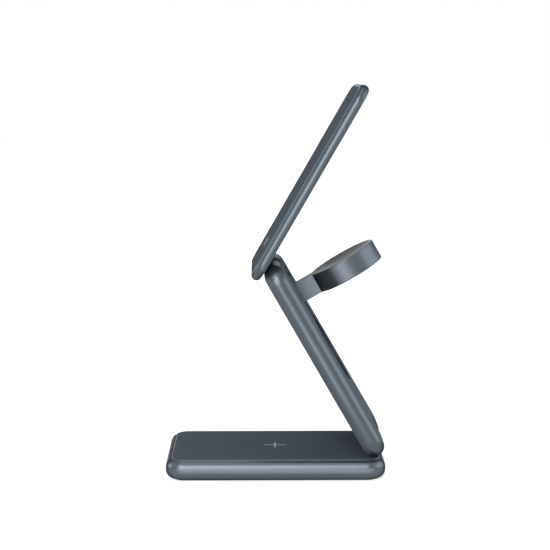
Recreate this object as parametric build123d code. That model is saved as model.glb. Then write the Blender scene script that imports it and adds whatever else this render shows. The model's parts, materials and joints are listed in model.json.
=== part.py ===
from build123d import *
import os

# Folding charging stand in millimetres: +Z up, +X to the hinge end of the base, Y across the panels.
# Every panel is drawn lying flat, with its charging face up, and then stood at its angle.
os.makedirs("parts", exist_ok=True)

# Panel outlines: the base and the phone panel share one, the middle panel is as wide
panel_length = 111.0
panel_width = 74.0
corner_radius = 9.7

# Open angles, from +X towards +Z
middle_angle = 120.0
phone_angle = 60.0
watch_angle = 30.0

# Base
base_height = 10.8       # table to the top of the pad
base_edge = 4.3          # rounding of the housing's long edges
foot_proud = 0.4         # foot pad below the housing
foot_thick = 1.2
foot_inset = 4.5
pad_inset = 3.0
pad_thick = 1.5
pad_proud = 0.3
pad_bevel = 0.4
bay_wall = 9.0           # outside of the housing to the electronics bay
bay_floor = 2.6
bay_hinge_wall = 12.0    # the same at the hinge end

# Middle panel: its round ends are centred on the two hinge axes
middle_thick = 10.6
axis_from_end = 5.9      # hinge end of the base to the lower axis
axis_from_far_end = 5.1  # far end of the base to the upper axis, when folded
edge_flat = 0.02         # left of each side between its two roundings
panel_gap = 0.3          # between the faces of folded panels
cover_thick = 1.2
cover_end_wall = 2.3     # notch to the cover
cover_side_wall = 6.0    # side of the panel to the cover
cover_corner = 5.0
cable_channel = 5.0
cable_width = 4.0
cable_thick = 0.6
cable_inset = 6.0        # end of the cover to the end of the cable
channel_wall = 2.7       # keyhole to the cable's channel
channel_depth = 1.6

# Phone panel
phone_thick = 5.2
phone_edge = 2.4
phone_overhang = 6.9     # its lower end past the hinge axis
front_inset = 2.0
front_thick = 1.0
front_proud = 0.2
front_bevel = 0.25
shell_wall = 1.5
shell_rim = 5.0

# Hinges: one lug on the base and one on the phone panel, each in a notch of the middle panel
notch_half = 10.0
notch_floor = 6.7        # from the axis
lug_side_gap = 0.7
lug_recess = 1.1         # lug below the round ends of the middle panel
neck_half = 2.8
base_lug_foot = 2.2      # how deep the lug's neck sits below the pad's top
phone_lug_foot = 0.6
pin_radius = 1.6
pin_in_ear = 6.5
bush_radius = 3.0
bush_length = 7.0
running_fit = 0.05
washer_radius = 3.9
washer_thick = 0.5
land_margin = 0.6

# Watch arm: folds into a keyhole through the middle panel
arm_reach = 33.0
arm_width = 10.0
arm_thick = 10.3
arm_gap = 0.5            # arm to the keyhole's slot
puck_gap = 1.2           # puck to the keyhole's round, wide enough for its near side to swing out
puck_radius = 18.2
puck_edge = 0.5
pivot_from_axis = 16.8   # upper axis to the arm's pivot, along the middle panel
root_gap = 0.4
watch_pin_radius = 1.5
watch_bush_radius = 2.6
watch_pin_in_wall = 6.0
watch_bush_length = 6.5
cap_radius = 16.4
cap_thick = 2.4
dish_radius = 15.6
dish_depth = 1.2

# Screws
screw_radius = 0.9
head_radius = 1.8
head_height = 0.9
screw_y = 7.3
base_screw_shift = 1.0   # from the lower axis towards the middle of the base
screw_tip = 2.5          # from the hinge axis

# Charging coils, ferrites and magnets
base_coil_outer = 23.0
base_coil_inner = 10.0
base_coil_thick = 1.4
ferrite_thick = 0.8
ferrite_margin = 1.2     # ferrite past the coil's outer edge
phone_coil_outer = 21.0
phone_coil_inner = 10.0
phone_coil_thick = 1.2
magnet_ring_outer = 27.5
magnet_ring_inner = 23.6
magnet_count = 16
magnet_gap_angle = 3.0
magnet_thick = 1.6
align_length = 9.0
align_width = 4.0
align_corner = 0.5
align_gap = 4.0          # ring to the lone alignment magnet
watch_coil_outer = 13.0
watch_coil_inner = 6.6
watch_coil_thick = 1.4
watch_magnet_radius = 5.6
watch_magnet_thick = 2.2

# Boards, ballast and the supply socket
base_board_length = 27.0
board_side_gap = 6.0     # side of the bay to the board
board_thick = 1.2
board_corner = 1.0
tail_length = 4.6        # board tail that carries the socket
tail_half = 5.6
ballast_thick = 2.0
ballast_gap = 4.8        # ballast to the board
ballast_side_gap = 3.0   # side of the bay to the ballast
phone_board_length = 12.0
phone_board_width = 30.0
phone_board_thick = 1.0
phone_board_x = 9.0      # from the upper axis along the phone panel
socket_width = 8.94
socket_height = 3.2
socket_length = 8.0
socket_wall = 0.3
socket_recess = 0.2
tongue_width = 6.7
tongue_thick = 0.7
tongue_length = 5.0

# Fits
glue_gap = 0.1           # round a plate set into its seat

# Worked-out places
middle_half = middle_thick / 2
axis_reach = middle_half + panel_gap            # hinge axis to the face of the panel it carries
lower_axis_x = panel_length / 2 - axis_from_end
lower_axis_z = base_height + axis_reach
axis_spacing = panel_length - axis_from_end - axis_from_far_end
watch_pivot_x = axis_spacing - pivot_from_axis  # from the lower axis
middle_place = Pos(lower_axis_x, 0, lower_axis_z) * Rot(0, -middle_angle, 0)
upper_axis = middle_place * Pos(axis_spacing, 0, 0)
phone_place = Pos(*upper_axis.position) * Rot(0, -phone_angle, 0)
watch_axis = middle_place * Pos(watch_pivot_x, 0, 0)
watch_place = Pos(*watch_axis.position) * Rot(0, -watch_angle, 0)
lug_half = notch_half - lug_side_gap
lug_radius = middle_half - lug_recess
arm_half = arm_thick / 2
slot_half = arm_width / 2 + arm_gap


def save(node, shape):
    shape.label = node
    export_step(shape, f"parts/{node}.step")


def plate(length, width, thick, corner):
    return extrude(RectangleRounded(length, width, corner), thick)


def rounded_slab(length, width, thick, corner, edge):
    slab = plate(length, width, thick, corner)
    slab = fillet(slab.edges().group_by(Axis.Z)[-1], edge)
    return fillet(slab.edges().group_by(Axis.Z)[0], edge)


def disc(radius, thick):
    return extrude(Circle(radius), thick)


def ring(outer, inner, thick):
    return extrude(Circle(outer) - Circle(inner), thick)


def rod_along_y(radius, start, end):
    return Pos(0, (start + end) / 2, 0) * Rot(90, 0, 0) * Cylinder(radius, end - start)


def both_sides(shape):
    return Part() + [shape, mirror(shape, Plane.XZ)]


# Lug whose neck points down -Z from the hinge axis to its seat
def hinge_lug(foot, screw_x):
    neck_length = axis_reach + foot
    neck = Pos(0, 0, -neck_length / 2) * Box(2 * neck_half, 2 * lug_half, neck_length)
    lug = rod_along_y(lug_radius, -lug_half, lug_half) + neck
    lug -= rod_along_y(pin_radius, -lug_half, lug_half)
    hole = Pos(screw_x, screw_y, -neck_length) * disc(screw_radius, neck_length - screw_tip)
    return lug - both_sides(hole)


def hinge_washers():
    washer = rod_along_y(washer_radius, lug_half, lug_half + washer_thick)
    washer -= rod_along_y(pin_radius, lug_half, lug_half + washer_thick)
    return both_sides(washer)


# Bush pressed into a wall that starts at the given Y
def hinge_bushes(outer, inner, wall, length):
    bush = rod_along_y(outer, wall, wall + length) - rod_along_y(inner, wall, wall + length)
    return both_sides(bush)


def screw(length):
    return disc(head_radius, head_height) + Pos(0, 0, head_height) * disc(screw_radius, length)


# Base housing: rounded slab with a seat for the pad, a bay for the electronics and a land for the lug
base_top = base_height - pad_proud
pad_bottom = base_height - pad_thick
pad_length = panel_length - 2 * pad_inset
pad_width = panel_width - 2 * pad_inset
pad_corner = corner_radius - pad_inset
land_start = lower_axis_x - neck_half - land_margin
land_half = lug_half + land_margin
land_reach = panel_length / 2 - land_start
pad_cut = Pos(land_start + land_reach / 2, 0, base_height) * Box(
    land_reach, 2 * land_half, 2 * pad_thick)
land = Pos(land_start + glue_gap + land_reach / 2, 0, base_height) * Box(
    land_reach, 2 * (land_half - glue_gap), 2 * pad_thick)
pad_seat = Pos(0, 0, pad_bottom) * plate(
    pad_length + 2 * glue_gap, pad_width + 2 * glue_gap, pad_thick, pad_corner + glue_gap)
bay_start = bay_wall - panel_length / 2
bay_end = panel_length / 2 - bay_hinge_wall
bay_width = panel_width - 2 * bay_wall
bay = Pos((bay_start + bay_end) / 2, 0, bay_floor) * plate(
    bay_end - bay_start, bay_width, pad_bottom - bay_floor, pad_corner)
foot_length = panel_length - 2 * foot_inset
foot_width = panel_width - 2 * foot_inset
foot_corner = corner_radius - foot_inset
foot_seat = plate(foot_length + 2 * glue_gap, foot_width + 2 * glue_gap, foot_thick, foot_corner + glue_gap)
socket_bottom = bay_floor + board_thick
socket_z = socket_bottom + socket_height / 2
socket_end = panel_length / 2 - socket_recess
socket_start = socket_end - socket_length
tail_end = bay_end + tail_length
tail_room = Pos(bay_end, 0, bay_floor) * Box(
    2 * (tail_length + glue_gap), 2 * (tail_half + glue_gap), board_thick + socket_height + glue_gap,
    align=(Align.CENTER, Align.CENTER, Align.MIN))
socket_outline = Plane.YZ.offset(socket_start) * Pos(0, socket_z) * SlotOverall(
    socket_width + 2 * glue_gap, socket_height + 2 * glue_gap)
socket_hole = extrude(socket_outline, panel_length / 2 - socket_start)
lug_seat_z = base_height - base_lug_foot
lug_seat = Pos(lower_axis_x, 0, lug_seat_z) * Box(
    2 * neck_half, 2 * lug_half, base_lug_foot, align=(Align.CENTER, Align.CENTER, Align.MIN))
base_screw_x = lower_axis_x - base_screw_shift
base_screw_length = lower_axis_z - screw_tip - foot_thick - head_height
base_screws = both_sides(Pos(base_screw_x, screw_y, foot_thick) * screw(base_screw_length))

base_housing = Pos(0, 0, foot_proud) * rounded_slab(
    panel_length, panel_width, base_top - foot_proud, corner_radius, base_edge)
base_housing -= pad_seat - land
base_housing -= [bay, foot_seat, tail_room, socket_hole, lug_seat, base_screws]
save("base_housing", base_housing)

base_pad = plate(pad_length, pad_width, pad_thick, pad_corner)
base_pad = chamfer(base_pad.edges().group_by(Axis.Z)[-1], pad_bevel)
save("base_top_pad", Pos(0, 0, pad_bottom) * base_pad - pad_cut)
save("base_foot_pad", plate(foot_length, foot_width, foot_thick, foot_corner))
save("base_hinge_lug", Pos(lower_axis_x, 0, lower_axis_z) * hinge_lug(base_lug_foot, -base_screw_shift))
save("base_lug_screws", base_screws)

# Inside the base: coil under the pad, ferrite under the coil, ballast and board on the floor
base_coil_z = pad_bottom - base_coil_thick
save("base_coil", Pos(0, 0, base_coil_z) * ring(base_coil_outer, base_coil_inner, base_coil_thick))
save("base_ferrite", Pos(0, 0, base_coil_z - ferrite_thick) * disc(
    base_coil_outer + ferrite_margin, ferrite_thick))
board_start = bay_end - glue_gap - base_board_length
ballast_start = bay_start + glue_gap
ballast_length = board_start - ballast_gap - ballast_start
save("base_ballast", Pos(ballast_start + ballast_length / 2, 0, bay_floor) * plate(
    ballast_length, bay_width - 2 * ballast_side_gap, ballast_thick, pad_corner))
base_board = Pos(board_start + base_board_length / 2, 0, bay_floor) * plate(
    base_board_length, bay_width - 2 * board_side_gap, board_thick, board_corner)
board_tail = Pos(tail_end, 0, bay_floor) * Box(
    2 * tail_length, 2 * tail_half, board_thick, align=(Align.MAX, Align.CENTER, Align.MIN))
save("base_board", base_board + board_tail)

# Supply socket on the board's tail, open at the hinge end of the base
socket_face = SlotOverall(socket_width, socket_height)
socket_inside = SlotOverall(socket_width - 2 * socket_wall, socket_height - 2 * socket_wall)
socket_plane = Plane.YZ.offset(socket_start) * Pos(0, socket_z)
socket_shell = extrude(socket_plane * socket_face, socket_length)
socket_shell -= extrude(Pos(socket_wall, 0, 0) * socket_plane * socket_inside, socket_length)
save("usb_socket_shell", socket_shell)
tongue = Pos(socket_start + socket_wall, 0, socket_z) * Box(
    tongue_length, tongue_width, tongue_thick, align=(Align.MIN, Align.CENTER, Align.CENTER))
save("usb_socket_tongue", tongue)

# Hinge hardware: each pin is fixed in its lug and turns in bushes in the middle panel's ears
pin_half = notch_half + pin_in_ear
hinge_pin = rod_along_y(pin_radius, -pin_half, pin_half)
ear_bushes = hinge_bushes(bush_radius, pin_radius + running_fit, notch_half, bush_length)
ear_bores = both_sides(rod_along_y(bush_radius, notch_half, notch_half + bush_length))
save("lower_hinge_pin", Pos(lower_axis_x, 0, lower_axis_z) * hinge_pin)
save("lower_hinge_washers", Pos(lower_axis_x, 0, lower_axis_z) * hinge_washers())
save("lower_hinge_bushes", middle_place * ear_bushes)
save("upper_hinge_pin", phone_place * hinge_pin)
save("upper_hinge_washers", phone_place * hinge_washers())
save("upper_hinge_bushes", middle_place * Pos(axis_spacing, 0, 0) * ear_bushes)

# Middle panel: full-round edges, a notch at each end and a keyhole for the watch arm
middle_length = axis_spacing + middle_thick
middle_edge = middle_half - edge_flat
middle_frame = Pos(axis_spacing / 2, 0, -middle_half) * rounded_slab(
    middle_length, panel_width, middle_thick, corner_radius, middle_edge)
notch = Box(2 * notch_floor, 2 * notch_half, 2 * middle_thick)
stow_x = watch_pivot_x - arm_reach
slot_end = watch_pivot_x + arm_half + root_gap
keyhole = Pos(stow_x, 0, -middle_thick) * disc(puck_radius + puck_gap, 2 * middle_thick)
keyhole += Pos(stow_x, 0, 0) * Box(
    slot_end - stow_x, 2 * slot_half, 2 * middle_thick, align=(Align.MIN, Align.CENTER, Align.CENTER))
cover_bottom = middle_half - cover_thick
cover_length = axis_spacing - 2 * (notch_floor + cover_end_wall)
cover_width = panel_width - 2 * cover_side_wall
cover_seat = Pos(axis_spacing / 2, 0, cover_bottom) * plate(
    cover_length + 2 * glue_gap, cover_width + 2 * glue_gap, cover_thick, cover_corner + glue_gap)
cable_length = cover_length - 2 * cable_inset
cable_y = puck_radius + puck_gap + channel_wall + cable_channel / 2
channel_floor = cover_bottom - channel_depth
channel = Pos(axis_spacing / 2, cable_y, channel_floor) * Box(
    cable_length + 2 * glue_gap, cable_channel, channel_depth,
    align=(Align.CENTER, Align.CENTER, Align.MIN))
watch_bores = both_sides(rod_along_y(watch_bush_radius, slot_half, slot_half + watch_bush_length))
middle_frame -= [notch, Pos(axis_spacing, 0, 0) * notch, keyhole, cover_seat, channel]
middle_frame -= ear_bores
middle_frame -= Pos(axis_spacing, 0, 0) * ear_bores
middle_frame -= Pos(watch_pivot_x, 0, 0) * watch_bores
save("middle_frame", middle_place * middle_frame)

cover = Pos(axis_spacing / 2, 0, cover_bottom) * plate(cover_length, cover_width, cover_thick, cover_corner)
save("middle_front_cover", middle_place * (cover - keyhole))
cable = Pos(axis_spacing / 2, cable_y, channel_floor) * Box(
    cable_length, cable_width, cable_thick, align=(Align.CENTER, Align.CENTER, Align.MIN))
save("middle_flat_cable", middle_place * cable)

# Watch arm: square bar with a round puck, its charging face dished
watch_bushes = hinge_bushes(
    watch_bush_radius, watch_pin_radius + running_fit, slot_half, watch_bush_length)
save("watch_hinge_bushes", watch_place * watch_bushes)
watch_pin_half = slot_half + watch_pin_in_wall
save("watch_hinge_pin", watch_place * rod_along_y(watch_pin_radius, -watch_pin_half, watch_pin_half))

watch_arm = Pos(arm_reach / 2, 0, 0) * Box(arm_reach, arm_width, arm_thick)
watch_arm += Pos(arm_reach, 0, -arm_half) * disc(puck_radius, arm_thick)
watch_arm = fillet(watch_arm.edges().group_by(Axis.Z)[-1].filter_by(GeomType.CIRCLE), puck_edge)
watch_arm = fillet(watch_arm.edges().group_by(Axis.Z)[0].filter_by(GeomType.CIRCLE), puck_edge)
watch_arm += rod_along_y(arm_half, -arm_width / 2, arm_width / 2)
watch_arm -= rod_along_y(watch_pin_radius, -arm_width / 2, arm_width / 2)
cap_bottom = arm_half - cap_thick
watch_coil_z = cap_bottom - watch_coil_thick
watch_ferrite_z = watch_coil_z - ferrite_thick
watch_magnet_z = cap_bottom - watch_magnet_thick
watch_arm -= Pos(arm_reach, 0, cap_bottom) * disc(cap_radius + glue_gap, cap_thick)
watch_arm -= Pos(arm_reach, 0, watch_ferrite_z) * disc(
    watch_coil_outer + ferrite_margin + glue_gap, cap_bottom - watch_ferrite_z)
save("watch_arm", watch_place * watch_arm)

dish_ball = (dish_radius ** 2 + dish_depth ** 2) / (2 * dish_depth)
watch_cap = Pos(arm_reach, 0, cap_bottom) * disc(cap_radius, cap_thick)
watch_cap -= Pos(arm_reach, 0, arm_half - dish_depth + dish_ball) * Sphere(dish_ball)
save("watch_cap", watch_place * watch_cap)
save("watch_coil", watch_place * Pos(arm_reach, 0, watch_coil_z) * ring(
    watch_coil_outer, watch_coil_inner, watch_coil_thick))
save("watch_ferrite", watch_place * Pos(arm_reach, 0, watch_ferrite_z) * ring(
    watch_coil_outer + ferrite_margin, watch_coil_inner, ferrite_thick))
save("watch_magnet", watch_place * Pos(arm_reach, 0, watch_magnet_z) * disc(
    watch_magnet_radius, watch_magnet_thick))

# Phone panel: thin rounded shell with a front panel, its lug on the back
phone_x = panel_length / 2 - phone_overhang
phone_front = axis_reach + phone_thick
shell_top = phone_front - front_proud
front_bottom = phone_front - front_thick
shell_floor = axis_reach + shell_wall
front_length = panel_length - 2 * front_inset
front_width = panel_width - 2 * front_inset
front_corner = corner_radius - front_inset
phone_shell = Pos(phone_x, 0, axis_reach) * rounded_slab(
    panel_length, panel_width, shell_top - axis_reach, corner_radius, phone_edge)
front_seat = Pos(phone_x, 0, front_bottom) * plate(
    front_length + 2 * glue_gap, front_width + 2 * glue_gap, front_thick, front_corner + glue_gap)
phone_bay = Pos(phone_x, 0, shell_floor) * plate(
    panel_length - 2 * shell_rim, panel_width - 2 * shell_rim, front_bottom - shell_floor,
    corner_radius - front_inset)
phone_lug = Rot(0, 180, 0) * hinge_lug(phone_lug_foot, 0)
phone_lug_seat = Pos(0, 0, axis_reach) * Box(
    2 * neck_half, 2 * lug_half, phone_lug_foot, align=(Align.CENTER, Align.CENTER, Align.MIN))
phone_screw_length = shell_floor - screw_tip
phone_screws = both_sides(
    Pos(0, screw_y, shell_floor + head_height) * Rot(180, 0, 0) * screw(phone_screw_length))
phone_shell -= [front_seat, phone_bay, phone_lug_seat, phone_screws]
save("phone_back_shell", phone_place * phone_shell)
save("phone_hinge_lug", phone_place * phone_lug)
save("phone_lug_screws", phone_place * phone_screws)

front_panel = plate(front_length, front_width, front_thick, front_corner)
front_panel = chamfer(front_panel.edges().group_by(Axis.Z)[-1], front_bevel)
save("phone_front_panel", phone_place * Pos(phone_x, 0, front_bottom) * front_panel)

# Inside the phone panel: coil, ferrite and magnets under the front panel, board on the shell's floor
phone_coil_z = front_bottom - phone_coil_thick
save("phone_coil", phone_place * Pos(phone_x, 0, phone_coil_z) * ring(
    phone_coil_outer, phone_coil_inner, phone_coil_thick))
save("phone_ferrite", phone_place * Pos(phone_x, 0, phone_coil_z - ferrite_thick) * disc(
    phone_coil_outer + ferrite_margin, ferrite_thick))
magnet_angle = 360 / magnet_count
magnet_z = front_bottom - magnet_thick
magnet_section = Plane.XZ * Pos((magnet_ring_outer + magnet_ring_inner) / 2, magnet_thick / 2) * Rectangle(
    magnet_ring_outer - magnet_ring_inner, magnet_thick)
magnet = revolve(magnet_section, Axis.Z, revolution_arc=magnet_angle - magnet_gap_angle)
magnets = Part() + [Rot(0, 0, magnet_angle * i) * magnet for i in range(magnet_count)]
save("phone_magnet_ring", phone_place * Pos(phone_x, 0, magnet_z) * magnets)
align_x = phone_x - magnet_ring_outer - align_gap - align_length / 2
save("phone_align_magnet", phone_place * Pos(align_x, 0, magnet_z) * plate(
    align_length, align_width, magnet_thick, align_corner))
save("phone_board", phone_place * Pos(phone_board_x, 0, shell_floor) * plate(
    phone_board_length, phone_board_width, phone_board_thick, board_corner))
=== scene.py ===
import json
import math

import bmesh
import bpy
import numpy as np
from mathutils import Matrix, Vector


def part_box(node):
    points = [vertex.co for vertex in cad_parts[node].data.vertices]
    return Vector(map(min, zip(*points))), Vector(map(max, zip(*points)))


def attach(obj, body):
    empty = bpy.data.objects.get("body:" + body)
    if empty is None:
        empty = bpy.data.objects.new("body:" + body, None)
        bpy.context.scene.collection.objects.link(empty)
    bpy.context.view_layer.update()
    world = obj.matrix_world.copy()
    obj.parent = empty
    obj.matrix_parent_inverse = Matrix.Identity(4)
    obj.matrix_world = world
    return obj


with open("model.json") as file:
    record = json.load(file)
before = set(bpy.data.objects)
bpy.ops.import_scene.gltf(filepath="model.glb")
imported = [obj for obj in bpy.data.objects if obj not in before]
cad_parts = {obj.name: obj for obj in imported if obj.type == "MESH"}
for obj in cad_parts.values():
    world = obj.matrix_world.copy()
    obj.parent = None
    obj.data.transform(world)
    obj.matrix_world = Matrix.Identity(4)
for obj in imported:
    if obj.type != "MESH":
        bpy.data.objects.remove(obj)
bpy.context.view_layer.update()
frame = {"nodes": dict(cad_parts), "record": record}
scene = bpy.context.scene
mm = 0.001


# sRGB hex to the linear colour that shader sockets take, by the sRGB standard's own curve
def linear(hexColour):
    channels = np.array([int(hexColour[i:i + 2], 16) for i in (1, 3, 5)]) / 255
    toe, curve = channels / 12.92, ((channels + 0.055) / 1.055) ** 2.4
    return (*np.where(channels <= 0.04045, toe, curve), 1.0)


white = linear("#ffffff")


# One node: settings go to its sockets or properties, links are socket: (node, output).
# Sockets of a Mix go by number: 0 share, 2 and 3 numbers, 6 and 7 colours; a mixed colour is output 2.
def addNode(tree, kind, settings, links):
    node = tree.nodes.new(kind)
    for name, value in settings.items():
        if isinstance(name, int) or name in node.inputs:
            node.inputs[name].default_value = value
        else:
            setattr(node, name, value)
    for name, (source, output) in links.items():
        tree.links.new(source.outputs[output], node.inputs[name])
    return node


# A new material with its tree and its shader
def newMaterial(name):
    material = bpy.data.materials.new(name)
    material.use_nodes = True
    tree = material.node_tree
    return material, tree, tree.nodes["Principled BSDF"]


# A pattern's colour, gloss and lift, each (node, output), into the shader
def feedShader(tree, shader, colour, gloss, lift):
    for socket, (source, output) in (("Base Color", colour), ("Roughness", gloss), ("Normal", lift)):
        tree.links.new(source.outputs[output], shader.inputs[socket])


# A panel that leans by tilt degrees: the way up it, and the way its charging face looks
def alongOf(tilt):
    return (math.cos(math.radians(tilt)), 0, math.sin(math.radians(tilt)))


def facingOf(tilt):
    return (-math.sin(math.radians(tilt)), 0, math.cos(math.radians(tilt)))


# Camera: fitted to the outline of the stand in the photograph
cameraView = {
    "target": (0.0, 0.0, 100.03),   # mm, what the middle of the frame looks at
    "distance": 848.75,             # mm
    "pitch": 0.12205,               # radians below level
    "yaw": -0.01153,                # radians
    "lens": 107.80,                 # mm
    "sensor": 36,                   # mm
    "nearest": 10,                  # mm, nothing closer is drawn
}


def placeCamera(view):
    pitch, yaw = view["pitch"], view["yaw"]
    level = math.cos(pitch)
    forward = np.array([-math.sin(yaw) * level, math.cos(yaw) * level, -math.sin(pitch)])
    camera = bpy.data.objects.new("camera", bpy.data.cameras.new("camera"))
    camera.data.lens = view["lens"]
    camera.data.sensor_width = view["sensor"]
    camera.data.clip_start = view["nearest"] * mm
    camera.location = (np.array(view["target"]) - view["distance"] * forward) * mm
    camera.rotation_euler = (math.pi / 2 - pitch, 0, yaw)
    scene.collection.objects.link(camera)
    scene.camera = camera


# Studio: white surroundings, softboxes in front, at both sides and overhead, two strips behind,
# and three glowing cards that lie on the floor in front and face up
studio = {
    "fill": 0.45,                   # world as a light, against 1 as a background
    "floorSize": 8.0,               # m
    "floorTone": "#c4c4c4",         # the light that falls on it carries the shadow
    "floorGlow": (0.60, 1.0),       # and a glow keeps it white, less of it near the stand
    "floorGlowReach": (0.2, 1.0),   # m from the stand
    "aim": (0, 0, 90),              # mm
    # from: azimuth off the camera's side towards +X, elevation, distance, in degrees and m; size in m
    "softboxes": {
        "frontSoftbox": {"from": (-17, 25, 1.7), "size": (1.28, 1.6), "radiance": 5.4},
        "rightSoftbox": {"from": (92, 17, 1.5), "size": (1.7, 1.1), "radiance": 1.9},
        "leftSoftbox": {"from": (-104, 12, 1.5), "size": (0.5, 0.8), "radiance": 4.4},
        "overheadSoftbox": {"from": (0, 86, 1.5), "size": (1.2, 1.2), "radiance": 0.8},
        "topStrip": {"from": (180, 48, 1.6), "size": (0.7, 0.3), "radiance": 5.0},
        "backStrip": {"from": (178, 7, 1.6), "size": (0.34, 0.3), "radiance": 1.9},
        "nearCard": {"from": (0, -90, 0), "aim": (0, -77, 1), "size": (0.15, 0.05), "radiance": 2.6,
                     "lights": ["base_housing"]},  # so close that it is kept off the other panels
        "middleCard": {"from": (-20, -90, 0), "aim": (-22, -305, 1), "size": (0.12, 0.34), "radiance": 2.0},
        "farCard": {"from": (-4, -90, 0), "aim": (-50, -750, 1), "size": (0.35, 0.6), "radiance": 2.6},
    },
}


# One strength where the camera looks, directly, in a mirror or through glass, and another as a light
def seenStrength(tree, seen, fill):
    path = addNode(tree, "ShaderNodeLightPath", {}, {})
    mirrored = addNode(tree, "ShaderNodeMath", {"operation": "MAXIMUM"}, {
        0: (path, "Is Glossy Ray"), 1: (path, "Is Transmission Ray")})
    looked = addNode(tree, "ShaderNodeMath", {"operation": "MAXIMUM"}, {
        0: (path, "Is Camera Ray"), 1: (mirrored, 0)})
    return addNode(tree, "ShaderNodeMath", {"operation": "MULTIPLY_ADD", 1: seen - fill, 2: fill}, {
        0: (looked, 0)})


def buildWorld(look):
    world = bpy.data.worlds.new("studio")
    world.use_nodes = True
    scene.world = world
    tree = world.node_tree
    tree.nodes.clear()
    strength = seenStrength(tree, 1.0, look["fill"])
    background = addNode(tree, "ShaderNodeBackground", {"Color": white}, {"Strength": (strength, 0)})
    addNode(tree, "ShaderNodeOutputWorld", {}, {"Surface": (background, 0)})


# White paper sweep: dead matt, its glow grows with the distance from the stand
def buildFloor(look):
    half = look["floorSize"] / 2
    corners = [(-half, -half, 0), (half, -half, 0), (half, half, 0), (-half, half, 0)]
    mesh = bpy.data.meshes.new("floor")
    mesh.from_pydata(corners, [], [(0, 1, 2, 3)])
    floor = bpy.data.objects.new("floor", mesh)
    scene.collection.objects.link(floor)
    paper, tree, shader = newMaterial("whitePaperSweep")
    shader.inputs["Base Color"].default_value = linear(look["floorTone"])
    shader.inputs["Roughness"].default_value = 1.0
    shader.inputs["Specular IOR Level"].default_value = 0.0
    shader.inputs["Emission Color"].default_value = white
    place = addNode(tree, "ShaderNodeTexCoord", {}, {})
    reach = addNode(tree, "ShaderNodeVectorMath", {"operation": "LENGTH"}, {0: (place, "Object")})
    (near, far), (low, high) = look["floorGlowReach"], look["floorGlow"]
    glow = addNode(tree, "ShaderNodeMapRange", {
        "From Min": near, "From Max": far, "To Min": low, "To Max": high}, {"Value": (reach, "Value")})
    seen = seenStrength(tree, 1.0, 0.0)
    strength = addNode(tree, "ShaderNodeMath", {"operation": "MULTIPLY"}, {0: (glow, 0), 1: (seen, 0)})
    tree.links.new(strength.outputs[0], shader.inputs["Emission Strength"])
    mesh.materials.append(paper)


def buildSoftboxes(look):
    for name, box in look["softboxes"].items():
        azimuth, elevation = (math.radians(angle) for angle in box["from"][:2])
        aim, distance = np.array(box.get("aim", look["aim"])) * mm, box["from"][2]
        lamp = bpy.data.lights.new(name, "AREA")
        lamp.shape = "RECTANGLE"
        lamp.size, lamp.size_y = box["size"]
        lamp.energy = box["radiance"] * math.pi * lamp.size * lamp.size_y  # power that gives this radiance
        holder = bpy.data.objects.new(name, lamp)
        level = math.cos(elevation)
        away = np.array([math.sin(azimuth) * level, -math.cos(azimuth) * level, math.sin(elevation)])
        holder.location = aim + distance * away
        holder.rotation_euler = (math.pi / 2 - elevation, 0, azimuth)
        scene.collection.objects.link(holder)
        if "lights" in box:
            lit = bpy.data.collections.new(name)
            for node in box["lights"]:
                lit.objects.link(frame["nodes"][node])
            holder.light_linking.receiver_collection = lit


scene.view_settings.view_transform = "Standard"
placeCamera(cameraView)
buildWorld(studio)
buildFloor(studio)
buildSoftboxes(studio)
print("studio: camera, floor and", len(studio["softboxes"]), "softboxes")


# Noise and wave scales from a feature's size in mm
def noiseScale(size):
    return 1 / (size * mm)


waveRadians = 20                    # the wave texture turns this far over one unit of its scale


def waveScale(pitch):
    return 2 * math.pi / waveRadians / (pitch * mm)


evenSockets = ("Metallic", "Specular IOR Level")    # the same all over a finish, where no layer lies on it
noiseDetail = {"cloud": 3.0, "grain": 2.0}


# Two close tones in slow clouds, and a fine grain that varies the gloss and lifts the surface.
# Each layer is a mask and what shows there instead; a cut, moulded or lacquered layer has no grain.
def grained(name, look, *layers):
    material, tree, shader = newMaterial(name)
    for socket in evenSockets:
        if socket in look:
            shader.inputs[socket].default_value = look[socket]
    if "edgeTint" in look:
        shader.inputs["Specular Tint"].default_value = linear(look["edgeTint"])
    place = addNode(tree, "ShaderNodeTexCoord", {}, {})
    cloud, grain = (
        addNode(tree, "ShaderNodeTexNoise", {"Scale": noiseScale(look[size]), "Detail": noiseDetail[size]}, {
            "Vector": (place, "Object")})
        for size in ("cloud", "grain"))
    colour = addNode(tree, "ShaderNodeMix", {
        "data_type": "RGBA", 6: linear(look["tones"][0]), 7: linear(look["tones"][1])}, {0: (cloud, 0)})
    gloss = addNode(tree, "ShaderNodeMapRange", {
        "To Min": look["roughness"][0], "To Max": look["roughness"][1]}, {"Value": (grain, 0)})
    lift = addNode(tree, "ShaderNodeBump", {
        "Strength": 1.0, "Distance": look["lift"] * mm}, {"Height": (grain, 0)})
    below = {"Metallic": {}, "Strength": {}}  # links to what the next layer covers, once there is one
    for mask, layer in layers:
        where = mask(tree)
        colour = addNode(tree, "ShaderNodeMix", {"data_type": "RGBA", 7: linear(layer["tone"])}, {
            0: (where, 0), 6: (colour, 2)})
        gloss = addNode(tree, "ShaderNodeMix", {"data_type": "FLOAT", 3: layer["roughness"]}, {
            0: (where, 0), 2: (gloss, 0)})
        for socket, bare, covered in (
                (shader.inputs["Metallic"], look.get("Metallic", 0.0), layer["metallic"]),
                (lift.inputs["Strength"], 1.0, 0.0)):
            mixed = addNode(tree, "ShaderNodeMix", {"data_type": "FLOAT", 2: bare, 3: covered}, {
                0: (where, 0), **below[socket.name]})
            below[socket.name] = {2: (mixed, 0)}
            tree.links.new(mixed.outputs[0], socket)
    feedShader(tree, shader, (colour, 2), (gloss, 0), (lift, 0))
    return material


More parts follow.
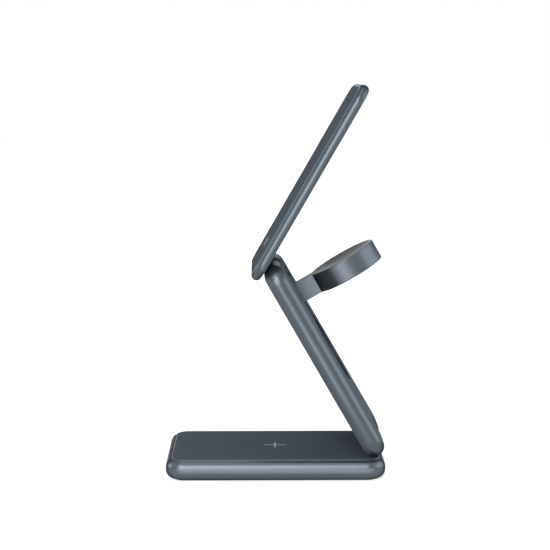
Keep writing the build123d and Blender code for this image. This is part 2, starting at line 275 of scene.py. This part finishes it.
# Mask by direction: ramps from 0 to 1 as the cosine between the surface's normal and "facing"
# goes from the first of the two cosines to the second
def facingMask(facing, cosines):
    def build(tree):
        place = addNode(tree, "ShaderNodeTexCoord", {}, {})
        aligned = addNode(tree, "ShaderNodeVectorMath", {"operation": "DOT_PRODUCT", 1: facing}, {
            0: (place, "Normal")})
        return addNode(tree, "ShaderNodeMapRange", {"From Min": cosines[0], "From Max": cosines[1]}, {
            "Value": (aligned, "Value")})
    return build


# Mask of the keyhole's walls: 1 inside the keyhole's round or its slot, a hair wider than they are cut
keyhole = {
    "fromAxis": 50.2,               # mm, lower hinge axis to the middle of the round
    "radius": 19.4,
    "slotHalf": 5.5,
    "slotEnd": 38.55,               # from the middle of the round
    "hair": 0.08,
}


def keyholeMask(look, tilt):
    joints = {joint["name"]: joint for joint in frame["record"]["behaviour"]["joints"]}
    axis = np.array(joints["lower_hinge"]["pos_m"])
    centre = axis + look["fromAxis"] * mm * np.array(alongOf(tilt))
    hair, middle = look["hair"] * mm, look["slotEnd"] / 2 * mm
    roundReach, slotReach = look["radius"] * mm + hair, look["slotHalf"] * mm + hair

    def build(tree):
        place = addNode(tree, "ShaderNodeTexCoord", {}, {})
        local = addNode(tree, "ShaderNodeMapping", {
            "vector_type": "TEXTURE", "Location": centre, "Rotation": (0, -math.radians(tilt), 0)}, {
            "Vector": (place, "Object")})
        flat = addNode(tree, "ShaderNodeVectorMath", {"operation": "MULTIPLY", 1: (1, 1, 0)}, {0: (local, 0)})
        radius = addNode(tree, "ShaderNodeVectorMath", {"operation": "LENGTH"}, {0: (flat, 0)})
        inRound = addNode(tree, "ShaderNodeMath", {"operation": "LESS_THAN", 1: roundReach}, {
            0: (radius, "Value")})
        axes = addNode(tree, "ShaderNodeSeparateXYZ", {}, {0: (local, 0)})
        inLength = addNode(tree, "ShaderNodeMath", {"operation": "COMPARE", 1: middle, 2: middle + hair}, {
            0: (axes, 0)})
        inWidth = addNode(tree, "ShaderNodeMath", {"operation": "COMPARE", 1: 0.0, 2: slotReach}, {
            0: (axes, 1)})
        inSlot = addNode(tree, "ShaderNodeMath", {"operation": "MULTIPLY"}, {
            0: (inLength, 0), 1: (inWidth, 0)})
        return addNode(tree, "ShaderNodeMath", {"operation": "MAXIMUM"}, {0: (inRound, 0), 1: (inSlot, 0)})
    return build


# Pattern space of a plate: its own centre at the origin, its face along Z
def plateSpace(tree, node, tilt):
    low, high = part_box(node)
    centre = [(a + b) / 2 for a, b in zip(low, high)]
    place = addNode(tree, "ShaderNodeTexCoord", {}, {})
    return addNode(tree, "ShaderNodeMapping", {
        "vector_type": "TEXTURE", "Location": centre, "Rotation": (0, -math.radians(tilt), 0)}, {
        "Vector": (place, "Object")})


# Enamelled copper wire: rings one wire apart, with painted shade in the grooves between the turns
coilLook = {
    "wire": 0.6,                    # mm
    "copper": "#b8713f",
    "paintedGrooveShade": "#4a2415",
    "roughness": (0.25, 0.5),       # on the wire, in the grooves
    "lift": 0.12,                   # mm
}


def wound(name, look, node, tilt):
    material, tree, shader = newMaterial(name)
    shader.inputs["Metallic"].default_value = 1.0
    flat = plateSpace(tree, node, tilt)
    turns = addNode(tree, "ShaderNodeTexWave", {
        "wave_type": "RINGS", "rings_direction": "Z", "Scale": waveScale(look["wire"])}, {
        "Vector": (flat, 0)})
    colour = addNode(tree, "ShaderNodeMix", {
        "data_type": "RGBA", 6: linear(look["paintedGrooveShade"]), 7: linear(look["copper"])}, {0: (turns, 1)})
    gloss = addNode(tree, "ShaderNodeMapRange", {
        "To Min": look["roughness"][1], "To Max": look["roughness"][0]}, {"Value": (turns, 1)})
    lift = addNode(tree, "ShaderNodeBump", {
        "Strength": 1.0, "Distance": look["lift"] * mm}, {"Height": (turns, 1)})
    feedShader(tree, shader, (colour, 2), (gloss, 0), (lift, 0))
    return material


# Glass-epoxy board under solder mask: copper tracks show as paler, slightly raised lines
boardLook = {
    "run": 4.0,                     # mm, and so are the next two
    "pitch": 0.9,
    "track": 0.22,
    "mask": "#0f4a33",
    "maskShade": "#0c412d",
    "trackTone": "#2f7a55",
    "roughness": (0.32, 0.42),
    "lift": 0.03,                   # mm
}


def circuitBoard(name, look, node, tilt):
    material, tree, shader = newMaterial(name)
    flat = plateSpace(tree, node, tilt)
    tracks = addNode(tree, "ShaderNodeTexBrick", {
        "Scale": 1 / mm, "Brick Width": look["run"], "Row Height": look["pitch"],
        "Mortar Size": look["track"] / 2, "Mortar": linear(look["trackTone"]),
        "Color1": linear(look["mask"]), "Color2": linear(look["maskShade"])}, {"Vector": (flat, 0)})
    gloss = addNode(tree, "ShaderNodeMapRange", {
        "To Min": look["roughness"][0], "To Max": look["roughness"][1]}, {"Value": (tracks, 1)})
    lift = addNode(tree, "ShaderNodeBump", {
        "Strength": 1.0, "Distance": look["lift"] * mm}, {"Height": (tracks, 1)})
    feedShader(tree, shader, (tracks, 0), (gloss, 0), (lift, 0))
    return material


# Cloud, grain and lift are in mm; grains under about 0.5 are drawn coarser than life, so that they show
finishes = {
    # dyed anodised aluminium, bead blasted: satin bands of light, and the dye layer darkens grazing edges
    "slate_aluminium": {"tones": ("#4e555b", "#525960"), "Metallic": 0.88, "roughness": (0.28, 0.36),
                        "Specular IOR Level": 0.06, "edgeTint": "#787c80",
                        "cloud": 16, "grain": 0.45, "lift": 0.002},
    # soft-touch lacquer over moulded plastic: dead matt, with a bright cut chamfer round its edge
    "soft_pad": {"tones": ("#424951", "#454c54"), "Specular IOR Level": 0.0, "roughness": (0.72, 0.78),
                 "cloud": 12, "grain": 0.5, "lift": 0.002},
    # moulded polycarbonate, lightly etched mould: satin, even, a touch warmer than the metal
    "puck_cap": {"tones": ("#3e4346", "#42474a"), "Specular IOR Level": 0.03, "roughness": (0.36, 0.46),
                 "cloud": 9, "grain": 0.5, "lift": 0.002},
    # moulded silicone rubber: dull, slightly dusty
    "foot_rubber": {"tones": ("#25282b", "#2c2f32"), "Specular IOR Level": 0.25, "roughness": (0.7, 0.85),
                    "cloud": 7, "grain": 0.6, "lift": 0.015},
    # pressed and fired ferrite: near black, gritty
    "ferrite": {"tones": ("#1a1a1c", "#242427"), "roughness": (0.5, 0.7),
                "cloud": 3, "grain": 0.4, "lift": 0.010},
    # nickel plate over a sintered magnet: bright, faintly warm
    "nickel_magnet": {"tones": ("#c4c1ba", "#cdcac4"), "Metallic": 1.0, "roughness": (0.16, 0.26),
                      "cloud": 4, "grain": 0.5, "lift": 0.001},
    # ground and tumbled steel: grey, with a fine dull bloom
    "steel": {"tones": ("#8d9093", "#9a9da0"), "Metallic": 1.0, "roughness": (0.24, 0.38),
              "cloud": 5, "grain": 0.3, "lift": 0.002},
    # moulded black nylon: satin with a mould grain
    "black_nylon": {"tones": ("#151617", "#1b1c1e"), "roughness": (0.45, 0.6),
                    "cloud": 5, "grain": 0.4, "lift": 0.006},
    # sintered bronze: dull gold, open pores
    "bronze_bush": {"tones": ("#9c7a45", "#ac8a52"), "Metallic": 1.0, "roughness": (0.38, 0.55),
                    "cloud": 2, "grain": 0.3, "lift": 0.010},
    # screen ink, pale grey: dead matt over the lacquer
    "pale_ink": {"tones": ("#838a90", "#8a9197"), "Specular IOR Level": 0.0, "roughness": (0.6, 0.7),
                 "cloud": 3, "grain": 0.3, "lift": 0.001},
    # the same ink printed thin, so that the lacquer shows through
    "thin_ink": {"tones": ("#626a71", "#687077"), "Specular IOR Level": 0.0, "roughness": (0.6, 0.7),
                 "cloud": 3, "grain": 0.3, "lift": 0.001},
    # and printed thinner still
    "faint_ink": {"tones": ("#4f5860", "#545d65"), "Specular IOR Level": 0.0, "roughness": (0.6, 0.7),
                  "cloud": 3, "grain": 0.3, "lift": 0.001},
    # flash gold on the socket's contacts: small warm glints
    "contact_gold": {"tones": ("#d9a94c", "#e3b65c"), "Metallic": 1.0, "roughness": (0.18, 0.28),
                     "cloud": 1, "grain": 0.2, "lift": 0.001},
}
# Where a piece differs from the finish of its slot: copies of the one finish painted a shade lighter (base,
# arm) as painted light or darker (phone shell) as painted shade, no gloss over the metal
slate = finishes["slate_aluminium"]
baseSlatePaintedLighter = {**slate, "tones": ("#51585e", "#555c63")}
armSlatePaintedLighter = {**baseSlatePaintedLighter, "Metallic": 0.84, "edgeTint": "#a8acb0"}
middleSlate = {**slate, "Specular IOR Level": 0.0}
phoneSlatePaintedDarker = {**slate, "tones": ("#4a5156", "#4e555a"), "Specular IOR Level": 0.0}

# Lacquer that matches the metal on the broad faces of the middle panel and of the phone panel's back,
# round to its lower end. The keyhole's walls carry painted shade, a dark tone where the recess lies in shade;
# the top of the watch arm is a lighter non-metal tone, a painted sheen; and the pads have a bright cut
# chamfer. Cosines are those of facingMask.
lacquer = {"tone": "#575f66", "roughness": 0.65, "metallic": 0.0}
cutMetal = {"roughness": 0.42, "metallic": 1.0}
layers = {
    # painted shade: a dark tone on the keyhole's walls, where the recess lies in shade
    "keyholeWallPaintedShade": {"tone": "#30383d", "roughness": 0.6, "metallic": 1.0},
    "middleFront": {**lacquer, "tone": "#50585f", "cosines": (0.52, 0.92)},
    "middleBack": {**lacquer, "cosines": (0.87, 0.98)},
    "phoneBack": {**lacquer, "cosines": (0.60, 0.90)},
    "phoneLowerEnd": {**lacquer, "cosines": (0.45, 0.95)},
    # painted sheen: the arm's top faces take a lighter, neutral tone where they catch the light
    "armTopPaintedSheen": {"tone": "#5e6162", "roughness": 0.42, "metallic": 0.0, "cosines": (0.90, 0.97)},
    "base_top_pad": {**cutMetal, "tone": "#535b62", "cosines": (0.97, 0.90)},
    "phone_front_panel": {**cutMetal, "tone": "#747d85", "cosines": (0.97, 0.90)},
}
tilts = {"base": 0, "middle_panel": 120, "phone_panel": 60, "watch_charger": 30}  # degrees they lean
subparts = frame["record"]["subparts"]
bodyOf = {node: body for body, nodes in frame["record"]["behaviour"]["bodies"].items() for node in nodes}


# A layer on what faces the way of a panel's charging face, or that way turned on by some degrees
def facingLayer(name, body, turned=0):
    return facingMask(facingOf(tilts[body] + turned), layers[name]["cosines"]), layers[name]


materials = {slot: grained(slot, look) for slot, look in finishes.items() if slot != "soft_pad"}
materials["base_housing"] = grained("slate_aluminium_base", baseSlatePaintedLighter)
for node in ("middle_frame", "middle_front_cover"):
    materials[node] = grained(
        "slate_aluminium_" + node, middleSlate,
        facingLayer("middleFront", "middle_panel"),
        facingLayer("middleBack", "middle_panel", 180),
        (keyholeMask(keyhole, tilts["middle_panel"]), layers["keyholeWallPaintedShade"]))
materials["phone_back_shell"] = grained(
    "slate_aluminium_phone_back_shell", phoneSlatePaintedDarker,
    facingLayer("phoneBack", "phone_panel", 180),
    facingLayer("phoneLowerEnd", "phone_panel", 90))
materials["watch_arm"] = grained("slate_aluminium_arm", armSlatePaintedLighter, facingLayer("armTopPaintedSheen", "watch_charger"))
for subpart in subparts:
    node, slot = subpart["node"], subpart["material_slot"]
    body = bodyOf[node]
    if slot == "soft_pad":
        materials[node] = grained("soft_pad_" + node, finishes[slot], facingLayer(node, body))
    elif slot == "copper_coil":
        materials[node] = wound("copper_" + node, coilLook, node, tilts[body])
    elif slot == "circuit_board":
        materials[node] = circuitBoard("circuit_" + node, boardLook, node, tilts[body])
print("materials:", len(materials))

# Loose CAD triangles: merge, keep the creases, and weight normals by area so that flats stay flat
smoothing = {
    "merge": 0.001,                 # mm
    "crease": 28,                   # degrees
    "areaWeight": 50,               # the middle of its range: by area alone
}


def smoothNode(node, look):
    node.data.polygons.foreach_set("use_smooth", np.ones(len(node.data.polygons), bool))
    node.modifiers.new("merge", "WELD").merge_threshold = look["merge"] * mm
    node.modifiers.new("creases", "EDGE_SPLIT").split_angle = math.radians(look["crease"])
    node.modifiers.new("areaNormals", "WEIGHTED_NORMAL").weight = look["areaWeight"]


for subpart in subparts:
    node = frame["nodes"][subpart["node"]]
    smoothNode(node, smoothing)
    node.data.materials.clear()
    node.data.materials.append(materials.get(subpart["node"]) or materials[subpart["material_slot"]])
print("nodes dressed")

rowsMeet = 0.0001                   # mm, points closer than this are one


# Mesh from grids of points (copies, rows, around, xyz); a row closes on itself, rows that meet are merged
def gridPiece(name, grids, material, body):
    copies, rows, around = grids.shape[:3]
    copy, row, step = np.meshgrid(np.arange(copies), np.arange(rows - 1), np.arange(around), indexing="ij")
    here, above = (copy * rows + row) * around, (copy * rows + row + 1) * around
    after = (step + 1) % around
    quads = np.stack([here + step, here + after, above + after, above + step], -1).reshape(-1, 4)
    mesh = bpy.data.meshes.new(name)
    mesh.from_pydata(grids.reshape(-1, 3) * mm, [], quads)
    shape = bmesh.new()
    shape.from_mesh(mesh)
    bmesh.ops.remove_doubles(shape, verts=shape.verts, dist=rowsMeet * mm)
    shape.to_mesh(mesh)
    shape.free()
    mesh.materials.append(materials[material])
    piece = bpy.data.objects.new(name, mesh)
    scene.collection.objects.link(piece)
    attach(piece, body)


# A face to print on: its plane from the solid's own corners, u up the panel, v across it
def printFace(node, tilt):
    up, across, normal = np.array(alongOf(tilt)), np.array([0.0, 1.0, 0.0]), np.array(facingOf(tilt))
    mesh = frame["nodes"][node].data
    points = np.empty(len(mesh.vertices) * 3, np.float32)
    mesh.vertices.foreach_get("co", points)
    points = points.reshape(-1, 3).astype(float) / mm
    along = points @ up
    origin = (along.min() + along.max()) / 2 * up + (points @ normal).max() * normal
    return origin, up, across, normal


# Flat rims (rows, around, uv) stood at their heights over the face, as one copy
def onFace(face, rims, heights):
    origin, up, across, normal = face
    stood = np.array(heights)[:, None, None] * normal
    return (origin + rims[..., :1] * up + rims[..., 1:] * across + stood)[None]


# Rim of a plate drawn in to its middle on both sides, the rows of a closed flat piece
def plateRows(rim):
    return np.stack([rim * 0, rim, rim, rim * 0])


# Rounded box rim: corner centres at the four signs, plus the corner circle
def roundedRim(halfU, halfV, radius, count):
    turn = (np.arange(count) + 0.5) / count * 2 * math.pi
    circle = np.stack([np.cos(turn), np.sin(turn)], -1)
    return np.sign(circle) * np.array([halfU - radius, halfV - radius]) + radius * circle


# Plus rim: the two crossed bars, each left where its own ray runs out, whichever is farther
def plusRim(half, halfLine):
    tiny = 1e-9  # no ray is divided by nothing
    slope = math.atan2(halfLine, half)
    quarter = np.array([-slope, 0.0, slope, math.pi / 4])
    turn = (quarter + np.arange(4)[:, None] * math.pi / 2).ravel()
    ray = np.stack([np.cos(turn), np.sin(turn)], -1)
    cosine, sine = (np.abs(ray) + tiny).T
    alongU, alongV = np.minimum(half / cosine, halfLine / sine), np.minimum(halfLine / cosine, half / sine)
    return np.maximum(alongU, alongV)[:, None] * ray


# Printed marks, in mm; ink stands a little over the lacquer and its edge is rooted in it
prints = {
    "ink": 0.03,
    "root": -0.03,
    "plusHalf": 5.5,
    "plusLine": 0.55,               # half the line
    "outlineAt": 26.9,              # mark on the phone panel, above the middle of its face
    "outlineHalf": (6.2, 3.2),
    "outlineCorner": 1.1,
    "outlineLine": 0.6,
    "dashHalf": (1.9, 0.5),
    "barAt": -38.2,
    "barHalf": (2.4, 9.0),
    "rimPoints": 64,
}


def buildPrints(look):
    plate = [look["ink"], look["ink"], look["root"], look["root"]]
    band = [look["root"], look["ink"], look["ink"], look["root"], look["root"]]
    padFace = printFace("base_top_pad", tilts["base"])
    plus = plateRows(plusRim(look["plusHalf"], look["plusLine"]))
    gridPiece("base_plus_print", onFace(padFace, plus, plate), "pale_ink", "base")

    phoneFace = printFace("phone_front_panel", tilts["phone_panel"])
    halfU, halfV = look["outlineHalf"]
    line, corner, count = look["outlineLine"], look["outlineCorner"], look["rimPoints"]
    outer = roundedRim(halfU, halfV, corner, count)
    inner = roundedRim(halfU - line, halfV - line, corner - line / 2, count)
    outline = np.stack([inner, inner, outer, outer, inner]) + np.array([look["outlineAt"], 0.0])
    gridPiece("phone_outline_print", onFace(phoneFace, outline, band), "faint_ink", "phone_panel")
    for name, half, shift, ink in (("phone_dash_print", look["dashHalf"], look["outlineAt"], "faint_ink"),
                                   ("phone_bar_print", look["barHalf"], look["barAt"], "thin_ink")):
        rims = plateRows(roundedRim(*half, min(half), count)) + np.array([shift, 0.0])
        gridPiece(name, onFace(phoneFace, rims, plate), ink, "phone_panel")


# Socket contacts, in mm: two rows of small gold plates, one pitch apart across the tongue
contacts = {
    "count": 12,
    "pitch": 0.5,
    "width": 0.26,
    "length": 3.4,
    "corner": 0.05,
    "setBack": 0.4,                 # from the tongue's end
    "thick": 0.03,                  # over the tongue, and as deep in it
    "rimPoints": 16,
}


def buildContacts(look):
    low, high = (np.array(corner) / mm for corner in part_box("usb_socket_tongue"))
    middle = high[0] - look["setBack"] - look["length"] / 2
    rim = roundedRim(look["length"] / 2, look["width"] / 2, look["corner"], look["rimPoints"])
    heights = look["thick"] * np.array([1, 1, -1, -1])
    across = np.array([0.0, 1.0, 0.0])
    shifts = (np.arange(look["count"]) - (look["count"] - 1) / 2) * look["pitch"]
    for name, level, side in (("socket_contacts_upper", high[2], 1.0),
                              ("socket_contacts_lower", low[2], -1.0)):
        origin = np.array([middle, (low[1] + high[1]) / 2, level])
        face = (origin, np.array([1.0, 0.0, 0.0]), side * across, np.array([0.0, 0.0, side]))
        copies = onFace(face, plateRows(rim), heights) + shifts[:, None, None, None] * across
        gridPiece(name, copies, "contact_gold", "base")


buildPrints(prints)
buildContacts(contacts)
print("prints and contacts added")
